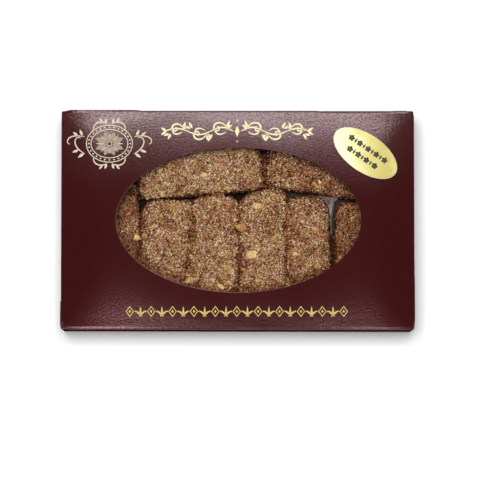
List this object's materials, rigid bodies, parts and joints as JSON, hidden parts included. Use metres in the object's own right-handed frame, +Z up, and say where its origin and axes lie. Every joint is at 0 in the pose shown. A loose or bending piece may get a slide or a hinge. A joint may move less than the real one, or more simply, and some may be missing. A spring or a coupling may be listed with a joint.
{
  "type": "windowed carton of english toffee",
  "caption": "Shut rectangular paperboard carton with an oval film window in its lid, over nut-coated english toffee bars on a paper liner.",
  "frame": {"origin": "middle of the carton's underside, on the surface it lies on", "axes": "+X along the carton's long side, +Y across the lid towards its hinge edge, +Z up out of the window"},
  "size_m": [0.1778, 0.1102, 0.0291],
  "materials": {
    "carton_board": "satin laminate",
    "clear_film": "clear gloss",
    "gold_label": "foil gloss",
    "liner_paper": "matt paper",
    "nut_coat": "rough nut crumbs"
  },
  "bodies": {
    "root": {"carton": "carton_board", "window_film": "clear_film", "label": "gold_label", "liner": "liner_paper", "toffee_back_left": "nut_coat", "toffee_back_right": "nut_coat", "toffee_front_1": "nut_coat", "toffee_front_2": "nut_coat", "toffee_front_3": "nut_coat", "toffee_front_4": "nut_coat", "toffee_front_5": "nut_coat", "toffee_front_6": "nut_coat"}
  },
  "joints": []
}
